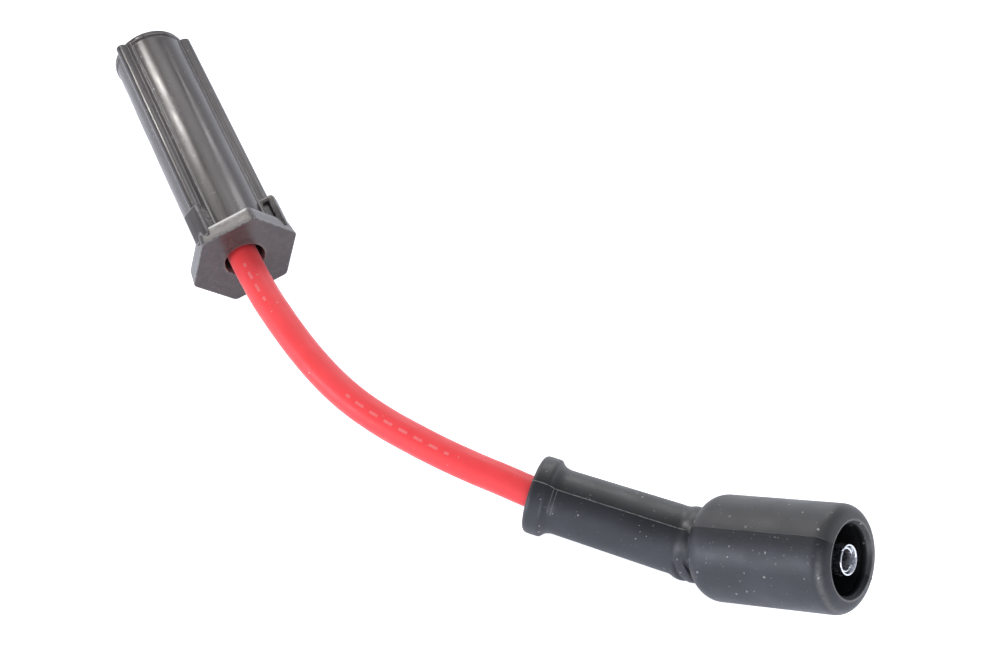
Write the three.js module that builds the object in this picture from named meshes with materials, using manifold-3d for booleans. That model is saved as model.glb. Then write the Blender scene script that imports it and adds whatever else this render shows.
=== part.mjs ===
// Ignition lead for one spark plug, lying on a flat surface: a hard plug sleeve with a hexagonal
// collar, a silicone covered wire, and a moulded rubber boot for the ignition coil.
// Millimetres, +Z up. +X runs along the plug sleeve, from the plug towards the wire.
import * as THREE from "three";
import { mergeVertices } from "three/addons/utils/BufferGeometryUtils.js";
import Module from "manifold-3d";

const wasm = await Module();
wasm.setup();

const degrees = Math.PI / 180;
const fitGap = 0.3; // clearance between two pieces that touch
const overlap = 1; // how far a solid is carried into or past the one it joins or cuts

// Wire
const wireDiameter = 8;
const coreDiameter = 2.6;
const wireSides = 12;
const coreSides = 8;
const wireSteps = 20;

// Plug sleeve, hard moulded plastic, measured from the front face of its hexagonal collar
const sleeveLength = 81;
const sleeveFrontRadius = 10.15; // round body just behind the collar
const sleeveEndRadius = 9.72; // round body at the open end: the mould's draft
const sleeveBoreRadius = 8;
const collarAcrossFlats = 25.9;
const collarThickness = 5;
const collarCornerRadius = 1.6;
const collarDraft = 6 * degrees;
const collarFloor = 2; // wall behind the collar, round the wire hole
const wireHoleRadius = 5.45;
const wireHoleChamfer = 0.3;
const endLipLength = 1.5;
const endLipHeight = 0.25;
const endChamfer = 0.4;

// Three rails along the sleeve, under every second corner of the collar
const railCount = 3;
const railShoulderAngle = 33 * degrees;
const railShoulderHeight = 0.4;
const railRidgeHeight = 2.4;
const railRidgeWidth = 3;
const railEndSetback = 0.8;

// A loop at the root of each rail, where a puller hooks in
const loopWidth = 5.1;
const loopReach = 9; // how far it stands behind the collar
const loopStrap = 1.4;
const loopSlotLength = 7.6;
const loopSlotHeight = 2.3;
const loopSlotRise = 0.45; // floor of the slot above the round body
const loopEndRadius = 1.3;

// Silicone liner inside the sleeve
const linerEndInset = 11; // from the sleeve's open end
const linerSocketRadius = 5.3; // grips the plug's insulator
const linerSocketDepth = 25;
const linerEntryChamfer = 0.8;
const linerStepLength = 1; // slope from the socket up to the terminal's chamber

// Terminals, rolled from sheet, with an open seam
const sheetThickness = 0.5;
const seamWidth = 0.9;
const crimpLength = 10;
const coneLength = 3;
const plugCrimpStart = 23; // from the front face of the collar
const plugSocketRadius = 3.7;
const plugSocketLength = 14;
const coilSocketRadius = 3.77;
const coilCrimpRise = 1; // how far the coil terminal's crimp stands out of the cavity's floor

// Contact springs inside the terminals
const springThickness = 0.4;
const springLength = 5;
const springInset = 0.7;
const springGap = 70 * degrees;
const coilSpringTurn = 225 * degrees;

// Coil boot, rubber. It bends where the neck meets the cup; lengths run from that bend
const cupLength = 44.1;
const cupRadius = 13.25;
const cupRearRadius = 13.1;
const cupRearSetback = 1.6; // the rear face stands this far in front of the bend
const cupRearRound = 5.6;
const cupFrontRound = 3.4;
const mouthRadius = 9.45;
const mouthLip = 0.85; // depth and height of the bevel inside the mouth
const cavityRadius = 9.3;
const cavityDepth = 27.5;
const lipLength = 1.2;
const hubRadius = 9.35;
const neckLength = 42.1;
const neckRadius = 8.25;
const neckEndRadius = 8.75;
const bootCollarRadius = 9.95;
const bootCollarWidth = 4.8;
const bootCollarRound = 1.25;
const bootCollarStepRound = 1; // where the collar steps down to the neck
const bootCollarFillet = 2.4;
const bootCollarFilletRise = 0.4;
const hubFlare = 3;
const terminalInset = 0.7; // the coil terminal stands this far inside the mouth

// Where the two ends lie
const sleevePlace = new THREE.Vector2(-39.4, -46.6); // centre of the collar's front face
const sleeveRoll = -15 * degrees;
const sleeveLift = 0.25; // the stiff wire holds the sleeve's front this far off the floor
const bootPlace = new THREE.Vector2(82.8, 26.35); // centre of the boot's bend
const cupAzimuth = 40.5 * degrees;
const cupPitch = 28.5 * degrees;
const neckAzimuth = 46.7 * degrees;

// Route of the wire, from inside the plug's crimp to inside the coil's crimp
const wireRoute = [
  [-70.67, -46.6, 13.73],
  [-60.28, -46.6, 14.17],
  [-49.89, -46.6, 14.61],
  [-39.4, -46.6, 15.05],
  [-26.2, -45.95, 15.2],
  [-18.8, -44.95, 14.9],
  [-11.15, -43.6, 14.4],
  [-3, -41.75, 13.9],
  [5.5, -39.15, 13.4],
  [13.35, -35.8, 12.9],
  [21.5, -31.05, 12.3],
  [28.85, -25.85, 11.8],
  [35.7, -20.6, 11.4],
  [42, -15.25, 11],
  [48.05, -9.7, 10.55],
  [53.92, -4.31, 10.02],
  [65.65, 8.14, 9.75],
  [78, 21.24, 9.46],
  [82.76, 26, 10.34],
  [88.14, 30.9, 13.16],
  [90.81, 33.19, 15.07],
  [93.15, 35.19, 16.74],
];

const colours = {
  sleeve: 0x6b6462,
  liner: 0x3b3c40,
  steel: 0xc9cccf,
  jacket: 0xe2343c,
  core: 0x2c2c30,
  boot: 0x46484e,
};

const material = (color, roughness, metalness) =>
  new THREE.MeshStandardMaterial({ color, roughness, metalness });

// Closed triangle mesh to manifold solid
function solid(geometry) {
  const bare = (geometry.index ? geometry.toNonIndexed() : geometry.clone())
    .deleteAttribute("normal")
    .deleteAttribute("uv");
  const merged = mergeVertices(bare, 1e-4);
  return new wasm.Manifold(
    new wasm.Mesh({
      numProp: 3,
      vertProperties: merged.attributes.position.array,
      triVerts: new Uint32Array(merged.index.array),
    }),
  );
}

// Manifold solid back to a geometry
function geometryOf(shape) {
  const mesh = shape.getMesh();
  return new THREE.BufferGeometry()
    .setAttribute("position", new THREE.BufferAttribute(mesh.vertProperties, 3))
    .setIndex(new THREE.BufferAttribute(mesh.triVerts, 1));
}

function mesh(name, geometry, look) {
  const made = new THREE.Mesh(geometry, look);
  made.name = name;
  return made;
}

// Points of an arc about (x, y)
function arc(x, y, radius, from, to, steps) {
  return Array.from({ length: steps + 1 }, (_, i) => {
    const a = from + ((to - from) * i) / steps;
    return new THREE.Vector2(x + radius * Math.cos(a), y + radius * Math.sin(a));
  });
}

// Solid of revolution about Z from a closed profile of [radius, z] points, in either direction
function revolve(profile, segments) {
  const points = profile.map((p) => (p.isVector2 ? p : new THREE.Vector2(...p)));
  const area = points.reduce((sum, p, i) => {
    const q = points[(i + 1) % points.length];
    return sum + p.x * q.y - q.x * p.y;
  }, 0);
  const ordered = area > 0 ? points : [...points].reverse();
  const closed = [...ordered, ordered[0]];
  const lathe = new THREE.LatheGeometry(closed, segments);
  lathe.rotateX(90 * degrees);
  return solid(lathe);
}

// Prism along Z between two heights
function prism(points, low, high) {
  const made = new THREE.ExtrudeGeometry(new THREE.Shape(points), {
    depth: high - low,
    bevelEnabled: false,
    steps: 1,
  });
  made.translate(0, 0, low);
  return made;
}

// Mould draft: the section shrinks evenly with the distance below the height given
function drafted(geometry, top, share) {
  const place = geometry.attributes.position;
  for (let i = 0; i < place.count; i++) {
    const scale = 1 + share * (place.getZ(i) - top);
    place.setX(i, place.getX(i) * scale);
    place.setY(i, place.getY(i) * scale);
  }
  return geometry;
}

function cylinder(radius, low, high, segments) {
  return revolve([[0, low], [radius, low], [radius, high], [0, high]], segments);
}

const routeCurve = new THREE.CatmullRomCurve3(
  wireRoute.map((p) => new THREE.Vector3(...p)),
  false,
  "centripetal",
);

// Tube along the wire's route, with a bore if one is given
function alongRoute(radius, sides, boreRadius, boreSides) {
  const section = new THREE.Shape(arc(0, 0, radius, 0, 2 * Math.PI, sides).slice(0, sides));
  if (boreRadius)
    section.holes.push(
      new THREE.Path(arc(0, 0, boreRadius, 0, 2 * Math.PI, boreSides).slice(0, boreSides)),
    );
  return new THREE.ExtrudeGeometry(section, {
    steps: wireSteps,
    extrudePath: routeCurve,
    curveSegments: 1,
  });
}

// Lowest point of a geometry once it is turned, among the points that it keeps
function lowest(geometry, turn, keeps = () => true) {
  const place = geometry.attributes.position;
  const point = new THREE.Vector3();
  let low = Infinity;
  for (let i = 0; i < place.count; i++) {
    if (!keeps(place.getZ(i))) continue;
    point.fromBufferAttribute(place, i).applyQuaternion(turn);
    low = Math.min(low, point.z);
  }
  return low;
}

// Turn that takes local +Z to a direction and keeps local +Y as high as it can be
function aim(azimuth, pitch) {
  const z = new THREE.Vector3(
    Math.cos(pitch) * Math.cos(azimuth),
    Math.cos(pitch) * Math.sin(azimuth),
    Math.sin(pitch),
  );
  const x = new THREE.Vector3(0, 0, 1).cross(z).normalize();
  const y = new THREE.Vector3().crossVectors(z, x);
  return new THREE.Quaternion().setFromRotationMatrix(new THREE.Matrix4().makeBasis(x, y, z));
}

// Sleeve

const collarRadius = collarAcrossFlats / 2 / Math.cos(30 * degrees);
const sleeveDraftShare =
  (1 - sleeveEndRadius / sleeveFrontRadius) / (sleeveLength - collarThickness);
const railAngles = Array.from(
  { length: railCount },
  (_, i) => -90 * degrees + (i * 2 * Math.PI) / railCount,
);

function hexagonOutline() {
  const centre = collarRadius - collarCornerRadius / Math.cos(30 * degrees);
  return Array.from({ length: 6 }, (_, i) => {
    const a = (30 + 60 * i) * degrees;
    const from = a - 30 * degrees;
    return arc(centre * Math.cos(a), centre * Math.sin(a), collarCornerRadius, from,
      from + 60 * degrees, 5);
  }).flat();
}

// Round body with the three rails, just behind the collar
function sleeveOutline() {
  const shoulder = sleeveFrontRadius + railShoulderHeight;
  const half = railRidgeWidth / 2;
  const ridgeCentre = sleeveFrontRadius + railRidgeHeight - half;
  const foot = Math.asin(half / shoulder);
  const reach = railShoulderAngle / 2;
  const between = (2 * Math.PI) / railCount;
  return railAngles.flatMap((a) => [
    ...arc(0, 0, shoulder, a - reach, a - foot, 3),
    ...arc(ridgeCentre * Math.cos(a), ridgeCentre * Math.sin(a), half, a - 90 * degrees,
      a + 90 * degrees, 10),
    ...arc(0, 0, shoulder, a + foot, a + reach, 3),
    ...arc(0, 0, sleeveFrontRadius, a + reach, a + between - reach, 14),
  ]);
}

const loopOuterRadius = sleeveFrontRadius + loopSlotRise + loopSlotHeight + loopStrap;

// One loop, on the rail that points along +X
function pullerLoop() {
  const root = sleeveFrontRadius - overlap;
  const low = -collarThickness - loopReach;
  const profile = [
    new THREE.Vector2(root, -collarThickness / 2),
    new THREE.Vector2(root, low),
    ...arc(loopOuterRadius - loopEndRadius, low + loopEndRadius, loopEndRadius, -90 * degrees, 0, 5),
    new THREE.Vector2(loopOuterRadius, -collarThickness / 2),
  ];
  const side = new THREE.Shape(profile);
  const slotTop = loopOuterRadius - loopStrap;
  const slot = new THREE.Shape([
    new THREE.Vector2(slotTop - loopSlotHeight, -collarThickness),
    new THREE.Vector2(slotTop - loopSlotHeight, -collarThickness - loopSlotLength),
    new THREE.Vector2(slotTop, -collarThickness - loopSlotLength),
    new THREE.Vector2(slotTop, -collarThickness),
  ]);
  const slab = (shape, width) =>
    solid(
      new THREE.ExtrudeGeometry(shape, { depth: width, bevelEnabled: false })
        .translate(0, 0, -width / 2)
        .rotateX(90 * degrees),
    );
  const round = cylinder(loopOuterRadius, low - overlap, 0, 96);
  return slab(side, loopWidth).subtract(slab(slot, 2 * loopWidth)).intersect(round);
}

function sleeveSolid() {
  const end = -sleeveLength;
  const back = -collarThickness;
  const lip = sleeveEndRadius + endLipHeight;
  const shrink = (collarThickness * Math.tan(collarDraft)) / (collarAcrossFlats / 2);
  const collar = drafted(prism(hexagonOutline(), back, 0), 0, shrink / collarThickness);
  const body = drafted(
    prism(sleeveOutline(), end + railEndSetback, back / 2),
    back,
    sleeveDraftShare,
  );
  const rim = revolve(
    [
      [sleeveBoreRadius - overlap, end],
      [lip - endChamfer, end],
      [lip, end + endChamfer],
      [lip, end + endLipLength],
      [sleeveBoreRadius - overlap, end + endLipLength],
    ],
    64,
  );
  const loop = pullerLoop();
  const loops = railAngles.map((a) => loop.rotate([0, 0, a / degrees]));
  const bore = cylinder(sleeveBoreRadius, end - overlap, back - collarFloor, 64);
  const hole = revolve(
    [
      [0, back - collarFloor - overlap],
      [wireHoleRadius, back - collarFloor - overlap],
      [wireHoleRadius, -wireHoleChamfer],
      [wireHoleRadius + 2 * wireHoleChamfer, wireHoleChamfer],
      [0, wireHoleChamfer],
    ],
    40,
  );
  return [solid(collar), solid(body), rim, ...loops]
    .reduce((whole, piece) => whole.add(piece))
    .subtract(bore)
    .subtract(hole);
}

// The sleeve rests on the rear end of the rail below: the pitch at which its front, with the loop
// behind the collar, clears the floor by the lift
function sleeveTurn(geometry) {
  const roll = new THREE.Quaternion().setFromAxisAngle(new THREE.Vector3(0, 0, 1), sleeveRoll);
  const middle = -sleeveLength / 2;
  let [flat, steep] = [0, 10 * degrees];
  for (let i = 0; i < 40; i++) {
    const pitch = (flat + steep) / 2;
    const turn = aim(0, pitch).multiply(roll);
    const front = lowest(geometry, turn, (z) => z > middle);
    const rear = lowest(geometry, turn, (z) => z < middle);
    if (front - rear < sleeveLift) flat = pitch;
    else steep = pitch;
  }
  return aim(0, flat).multiply(roll);
}

const sleeve = new THREE.Group();
const sleeveGeometry = geometryOf(sleeveSolid());
sleeve.quaternion.copy(sleeveTurn(sleeveGeometry));
sleeve.position.set(sleevePlace.x, sleevePlace.y, -lowest(sleeveGeometry, sleeve.quaternion));
sleeve.updateMatrix();
sleeve.add(mesh("plug_sleeve", sleeveGeometry, material(colours.sleeve, 0.42, 0)));

// Terminals: a crimp barrel round the wire, a cone and a socket, with an open seam all along.
// The socket's tip is at z = 0 and the wire comes from +Z
const crimpInner = wireDiameter / 2 + fitGap;
const crimpOuter = crimpInner + sheetThickness;

function terminal(socketRadius, socketLength) {
  const inner = socketRadius - sheetThickness;
  const cone = socketLength + coneLength;
  const barrel = cone + crimpLength;
  const tube = revolve(
    [
      [inner, 0],
      [socketRadius, 0],
      [socketRadius, socketLength],
      [crimpOuter, cone],
      [crimpOuter, barrel],
      [crimpInner, barrel],
      [crimpInner, cone],
      [inner, socketLength],
    ],
    32,
  );
  const seam = new THREE.BoxGeometry(seamWidth, 2 * crimpOuter, barrel + 2 * overlap);
  seam.translate(0, crimpOuter, barrel / 2);
  return tube.subtract(solid(seam));
}

function contactSpring(socketRadius) {
  const outer = socketRadius - sheetThickness - fitGap;
  const inner = outer - springThickness;
  const from = springGap / 2;
  const to = 2 * Math.PI - springGap / 2;
  const section = [...arc(0, 0, outer, from, to, 20), ...arc(0, 0, inner, to, from, 20)];
  return prism(section, springInset, springInset + springLength);
}

// Liner and terminal in the sleeve
const plugCrimpEnd = plugCrimpStart + crimpLength;
const plugTip = plugCrimpEnd + coneLength + plugSocketLength;
const linerRadius = sleeveBoreRadius - fitGap;
const linerFront = -collarThickness - collarFloor - fitGap;
const linerEnd = -sleeveLength + linerEndInset;
const chamberRadius = crimpOuter + fitGap;
const wireBoreRadius = wireDiameter / 2 + fitGap;

const inSleeve = (shape) => solid(shape.applyMatrix4(sleeve.matrix.clone().invert()));

function linerSolid() {
  const chamberFront = -plugCrimpStart + fitGap;
  const socket = linerEnd + linerSocketDepth;
  const shell = revolve(
    [
      [0, linerFront],
      [linerRadius, linerFront],
      [linerRadius, linerEnd],
      [linerSocketRadius + linerEntryChamfer, linerEnd],
      [linerSocketRadius, linerEnd + linerEntryChamfer],
      [linerSocketRadius, socket],
      [chamberRadius, socket + linerStepLength],
      [chamberRadius, chamberFront],
      [0, chamberFront],
    ],
    48,
  );
  return shell.subtract(inSleeve(alongRoute(wireBoreRadius, 24)));
}

sleeve.add(mesh("plug_liner", geometryOf(linerSolid()), material(colours.liner, 0.7, 0)));
const steel = material(colours.steel, 0.3, 1);
const plugTerminal = new THREE.Group();
plugTerminal.position.z = -plugTip;
plugTerminal.add(
  mesh("plug_terminal", geometryOf(terminal(plugSocketRadius, plugSocketLength)), steel),
  mesh("plug_contact_spring", contactSpring(plugSocketRadius), steel),
);
sleeve.add(plugTerminal);

// Coil boot

// The neck lies on its collar and on the hub at the bend
const neckSlope = Math.asin((bootCollarRadius - hubRadius) / (neckLength - bootCollarWidth));
const cupTurn = aim(cupAzimuth, cupPitch);
const neckTurn = aim(neckAzimuth, -neckSlope);
const neckInCup = new THREE.Matrix4().makeRotationFromQuaternion(
  cupTurn.clone().invert().multiply(neckTurn),
);

function cupOutside() {
  const rear = cupRearSetback;
  const profile = [
    new THREE.Vector2(0, 0),
    new THREE.Vector2(hubRadius, 0),
    new THREE.Vector2(hubRadius, rear),
    ...arc(cupRearRadius - cupRearRound, rear + cupRearRound, cupRearRound, -72 * degrees, 0, 7),
    ...arc(cupRadius - cupFrontRound, cupLength - cupFrontRound, cupFrontRound, 0, 90 * degrees, 7),
    new THREE.Vector2(0, cupLength),
  ];
  return revolve(profile, 56);
}

// Neck and collar, along -Z from the bend
function neckOutside() {
  const end = -neckLength;
  const step = end + bootCollarWidth;
  const round = bootCollarRound;
  const soft = bootCollarStepRound;
  const profile = [
    new THREE.Vector2(0, end),
    new THREE.Vector2(wireBoreRadius + overlap, end),
    ...arc(bootCollarRadius - round, end + round, round, -90 * degrees, 0, 5),
    ...arc(bootCollarRadius - soft, step - soft, soft, 0, 50 * degrees, 3),
    new THREE.Vector2(neckRadius + bootCollarFilletRise, step + bootCollarFillet / 2),
    new THREE.Vector2(neckRadius, step + bootCollarFillet),
    new THREE.Vector2(neckEndRadius, -2 * hubFlare),
    new THREE.Vector2(hubRadius - 0.1, -hubFlare),
    new THREE.Vector2(hubRadius, -0.4 * hubFlare),
    new THREE.Vector2(hubRadius, 0),
    new THREE.Vector2(0, 0),
  ];
  return revolve(profile, 48);
}

function bootOutside() {
  const neck = solid(geometryOf(neckOutside()).applyMatrix4(neckInCup));
  const joint = solid(new THREE.SphereGeometry(hubRadius, 48, 24));
  return cupOutside().add(neck).add(joint);
}

const boot = new THREE.Group();
const bootSkin = bootOutside();
boot.quaternion.copy(cupTurn);
boot.position.set(bootPlace.x, bootPlace.y, -lowest(geometryOf(bootSkin), cupTurn));
boot.updateMatrix();

const coilTip = cupLength - terminalInset;
const cavityFloor = cupLength - cavityDepth;
const coilCrimpStart = cavityFloor - crimpLength + coilCrimpRise;
const coilSocketLength = coilTip - coilCrimpStart - crimpLength - coneLength;
const inBoot = (shape) => solid(shape.applyMatrix4(boot.matrix.clone().invert()));

function bootSolid() {
  const lip = cupLength - mouthLip;
  const cavity = revolve(
    [
      [0, cavityFloor],
      [cavityRadius, cavityFloor],
      [cavityRadius, lip - 2 * lipLength],
      [mouthRadius - mouthLip, lip - lipLength],
      [mouthRadius - mouthLip, lip],
      [mouthRadius, cupLength],
      [mouthRadius, cupLength + overlap],
      [0, cupLength + overlap],
    ],
    56,
  );
  const chamber = cylinder(chamberRadius, coilCrimpStart - fitGap, cavityFloor + overlap, 32);
  return bootSkin
    .subtract(cavity)
    .subtract(chamber)
    .subtract(inBoot(alongRoute(wireBoreRadius, 24)));
}

boot.add(mesh("coil_boot", geometryOf(bootSolid()), material(colours.boot, 0.62, 0)));
const coilTerminal = new THREE.Group();
coilTerminal.position.z = coilTip;
coilTerminal.rotation.y = Math.PI;
const coilSpring = mesh("coil_contact_spring", contactSpring(coilSocketRadius), steel);
coilSpring.rotation.z = coilSpringTurn;
coilTerminal.add(
  mesh("coil_terminal", geometryOf(terminal(coilSocketRadius, coilSocketLength)), steel),
  coilSpring,
);
boot.add(coilTerminal);

// Wire: the silicone jacket, and the conducting core inside it
const jacket = alongRoute(wireDiameter / 2, wireSides, coreDiameter / 2 + 1.5 * fitGap, coreSides);
const core = alongRoute(coreDiameter / 2, coreSides);

const lead = new THREE.Group();
lead.add(
  sleeve,
  boot,
  mesh("wire_jacket", jacket, material(colours.jacket, 0.55, 0)),
  mesh("wire_core", core, material(colours.core, 0.8, 0)),
);

export default lead;
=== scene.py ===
"""Looks of an ignition lead that lies on a pale floor: a hard plug sleeve with a hexagonal collar,
a red silicone wire and a bent rubber coil boot. Metres, +Z up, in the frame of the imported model."""

import math
from contextlib import contextmanager

import bmesh
import bpy
import numpy as np
from bpy.props import FloatProperty, FloatVectorProperty, IntProperty, PointerProperty
from bpy.types import Operator, Panel, PropertyGroup
from mathutils import Matrix, Vector
from mathutils.bvhtree import BVHTree


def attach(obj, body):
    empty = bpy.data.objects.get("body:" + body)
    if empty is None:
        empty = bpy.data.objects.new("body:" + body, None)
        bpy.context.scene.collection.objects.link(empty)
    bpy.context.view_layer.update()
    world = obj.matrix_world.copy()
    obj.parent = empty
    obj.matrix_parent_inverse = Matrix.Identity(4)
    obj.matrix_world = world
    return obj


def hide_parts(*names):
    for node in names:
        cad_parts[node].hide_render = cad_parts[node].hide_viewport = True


bl_info = {
    "name": "Ignition lead",
    "version": (1, 0, 0),
    "blender": (4, 5, 0),
    "location": "View3D > Sidebar > Lead",
    "description": "Builds the sleeve, wire, boot and terminals of an ignition lead",
    "category": "Add Mesh",
}

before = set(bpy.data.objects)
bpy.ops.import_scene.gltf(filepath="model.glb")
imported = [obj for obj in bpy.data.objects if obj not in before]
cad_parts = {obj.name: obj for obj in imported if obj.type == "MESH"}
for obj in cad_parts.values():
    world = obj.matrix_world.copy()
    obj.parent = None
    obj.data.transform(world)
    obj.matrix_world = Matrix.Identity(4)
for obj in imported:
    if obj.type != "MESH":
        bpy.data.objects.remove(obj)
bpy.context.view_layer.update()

MM = 0.001
ROOT = "root"

# Where the two ends lie, in millimetres, with angles in degrees
SLEEVE_PLACE = (-39.4, -46.6, 15.053)
SLEEVE_PITCH = 2.4312
SLEEVE_ROLL = -15.0
BEND_PLACE = (82.8, 26.35, 9.349)
CUP_AIM = (40.5, 28.5)
NECK_AIM = (46.7, -0.9217)

# Mould seams of the boot, as angles about the neck and the cup
NECK_SEAM = 104.2
CUP_SEAM = 107.4

# Folds in the rubber at the bend, pressed in and darkened as painted shade: depth, width and (distance,
# angle) points on the neck
BEND_FOLDS = [
    (0.6, 0.55, [(-3.7, 156), (-3.2, 167), (-2.3, 178), (-1.2, 190), (0.2, 205), (0.8, 225)]),
    (0.7, 0.6, [(-1.6, 146), (-0.4, 155), (1.0, 164), (2.0, 174), (2.6, 188), (2.8, 205)]),
]

# Small bulges at the bend, each with a painted highlight: (distance, angle), height, width and strength
BULGE_HIGHLIGHTS = [((-2.7, 95), 0.2, 1.0, 1.0), ((-1.2, 100), 0.1, 0.8, 1.0), ((-2.2, 131), 0.22, 1.7, 0.45)]

# How far the folds and the spots lie from the neck's axis, in millimetres
FOLD_RADIUS, SPOT_RADIUS = 9.1, 9.0

# Painted highlight in a band just behind the cup's front edge: distance, width, first and last angle,
# strength
CUP_HIGHLIGHT_BAND = (42.7, 0.85, 112, 260, 0.5)

# Route of the wire, from crimp to crimp, in millimetres
WIRE_ROUTE = [
    (-70.67, -46.6, 13.73), (-60.28, -46.6, 14.17), (-49.89, -46.6, 14.61), (-39.4, -46.6, 15.05),
    (-26.2, -45.95, 15.2), (-18.8, -44.95, 14.9), (-11.15, -43.6, 14.4), (-3, -41.75, 13.9),
    (5.5, -39.15, 13.4), (13.35, -35.8, 12.9), (21.5, -31.05, 12.3), (28.85, -25.85, 11.8),
    (35.7, -20.6, 11.4), (42, -15.25, 11), (48.05, -9.7, 10.55), (53.92, -4.31, 10.02),
    (65.65, 8.14, 9.75), (78, 21.24, 9.46), (82.76, 26, 10.34), (88.14, 30.9, 13.16),
    (90.81, 33.19, 15.07), (93.15, 35.19, 16.74),
]

# Angle round the sleeve of the collar's upper flat, which carries flash and a painted highlight on its back
# edge
UPPER_FLAT = math.radians(120)
FLASH_CRUMBS, FLASH_SEED = 320, 7

# Mesh of the boot, in millimetres: voxels of its skin, rounds of smoothing, radius of a seam's line
SKIN_VOXEL, SKIN_ROUNDS, SEAM_RADIUS = 0.36, 5, 0.13

# Printed stretches of the wire along its run and the pitch of their dashes, in metres, and the share of
# a turn round the wire at which their row lies
PRINTED = ((0.0352, 0.0484), (0.0836, 0.1144))
PRINT_TURN, DASH_PITCH = 0.315, 0.0022

# Camera, in millimetres and degrees, turned about a target
CAMERA_TARGET, CAMERA_DISTANCE = (-2.042, 10.017, 0), 708.134
CAMERA_AZIMUTH, CAMERA_ELEVATION = 67.251, 53.246
LENS, SENSOR = 96.755, 36

# Sky: strength for diffuse rays and the camera, and for mirrored rays low and high up
SKY, SKY_SEEN, SKY_LOW, SKY_HIGH = 0.66, 1.0, 0.9, 0.22

# Floor: glow, the share of it that mirrored rays see, and half of the floor's width in metres
FLOOR_GLOW, FLOOR_MIRRORED, FLOOR_HALF = 0.75, 0.7, 3.0

# Lamps: place, target, size, watts, colour, then spread and roll in degrees
WARM, WHITE, COOL = (1, 0.97, 0.93), (1, 1, 1), (0.92, 0.96, 1.08)
LAMPS = {
    "key_box": ((-0.303, -0.116, 0.21), (-0.101, -0.05, 0.022), (0.11, 0.021), 0.0034, WARM, 18, -26.8),
    "fill_box": ((-0.39, 0.08, 0.32), (-0.085, -0.05, 0.02), (0.2, 0.2), 0.026, WHITE, 60, 0),
    "boot_box": ((-0.204, -0.07, 0.178), (0.09, 0.035, 0.02), (0.15, 0.15), 0.022, WARM, 60, 0),
    "rear_box": ((-0.31, 0.235, 0.23), (0.09, 0.035, 0.02), (0.16, 0.16), 0.05, WHITE, 60, 0),
    "front_box": ((0.02, -0.68, 0.13), (0.09, 0.03, 0.015), (0.3, 0.16), 1.5, COOL, 180, 0),
    "side_box": ((0.75, -0.34, 0.3), (0.105, 0.045, 0.03), (0.3, 0.4), 2.2, COOL, 180, 0),
}


def length_property(name, description, default):
    return FloatProperty(
        name=name, description=description, default=default * MM, unit="LENGTH", precision=5
    )


def angle_property(name, description, default):
    return FloatProperty(
        name=name, description=description, default=math.radians(default), subtype="ANGLE"
    )


def colour_property(name, description, default):
    return FloatVectorProperty(
        name=name, description=description, default=default, size=3, subtype="COLOR", min=0, max=1
    )


class LeadSleeveSizes(PropertyGroup):
    length: length_property("Length", "Collar's front face to the open end", 81)
    front_radius: length_property("Front radius", "Round body just behind the collar", 10.15)
    end_radius: length_property("End radius", "Round body at the open end", 9.72)
    bore_radius: length_property("Bore radius", "Inside of the body", 8)
    across_flats: length_property("Across flats", "Hexagonal collar", 26.3)
    collar_thickness: length_property("Collar thickness", "Along the sleeve", 5)
    collar_corner: length_property("Collar corner", "Radius of the hexagon's corners", 1.6)
    collar_draft: angle_property("Collar draft", "Taper of the flats", 6)
    wire_hole: length_property("Wire hole", "Radius of the hole for the wire", 5.45)
    ridge_height: length_property("Ridge height", "Rail's ridge above the body", 2.4)
    ridge_width: length_property("Ridge width", "Rail's ridge", 3)
    shoulder_height: length_property("Shoulder height", "Step beside each ridge", 0.4)
    shoulder_angle: angle_property("Shoulder angle", "Span of a rail's step", 33)
    loop_width: length_property("Loop width", "Puller loop at the root of a rail", 5.1)
    loop_radius: length_property("Loop radius", "Outside of the puller loops", 14.3)
    loop_reach: length_property("Loop reach", "How far a loop stands behind the collar", 9)
    loop_slot: length_property("Loop slot", "Length of the slot under a loop's strap", 7.6)


class LeadBootSizes(PropertyGroup):
    cup_length: length_property("Cup length", "Bend to the cup's mouth", 44.1)
    cup_radius: length_property("Cup radius", "At the front of the cup", 13.25)
    cup_rear_radius: length_property("Cup rear radius", "At the rear of the cup", 13.1)
    mouth_radius: length_property("Mouth radius", "Outer edge of the mouth's bevel", 9.45)
    cavity_radius: length_property("Cavity radius", "Inside of the cup", 9.3)
    cavity_depth: length_property("Cavity depth", "Inside of the cup", 27.5)
    hub_radius: length_property("Hub radius", "Bead at the bend", 9.35)
    neck_length: length_property("Neck length", "Bend to the collar's end", 42.1)
    neck_radius: length_property("Neck radius", "Beside the collar", 8.25)
    neck_end_radius: length_property("Neck end radius", "Beside the bend", 8.75)
    collar_radius: length_property("Collar radius", "Collar round the wire", 9.95)
    collar_width: length_property("Collar width", "Along the neck", 4.8)


class LeadWireSizes(PropertyGroup):
    diameter: length_property("Diameter", "Silicone jacket", 8)
    sides: IntProperty(name="Sides", description="Faces round the wire", default=48, min=12)
    step: length_property("Step", "Length of a stretch of the mesh", 1)


class LeadTerminalSizes(PropertyGroup):
    coil_radius: length_property("Coil socket radius", "Terminal's socket in the cup", 3.77)
    plug_radius: length_property("Plug socket radius", "Terminal's socket in the sleeve", 3.7)
    sheet: length_property("Sheet", "Thickness of the rolled sheet", 0.5)
    seam: length_property("Seam", "Open seam of the roll", 0.9)
    crimp_radius: length_property("Crimp radius", "Inside of the crimps", 4.3)


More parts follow.
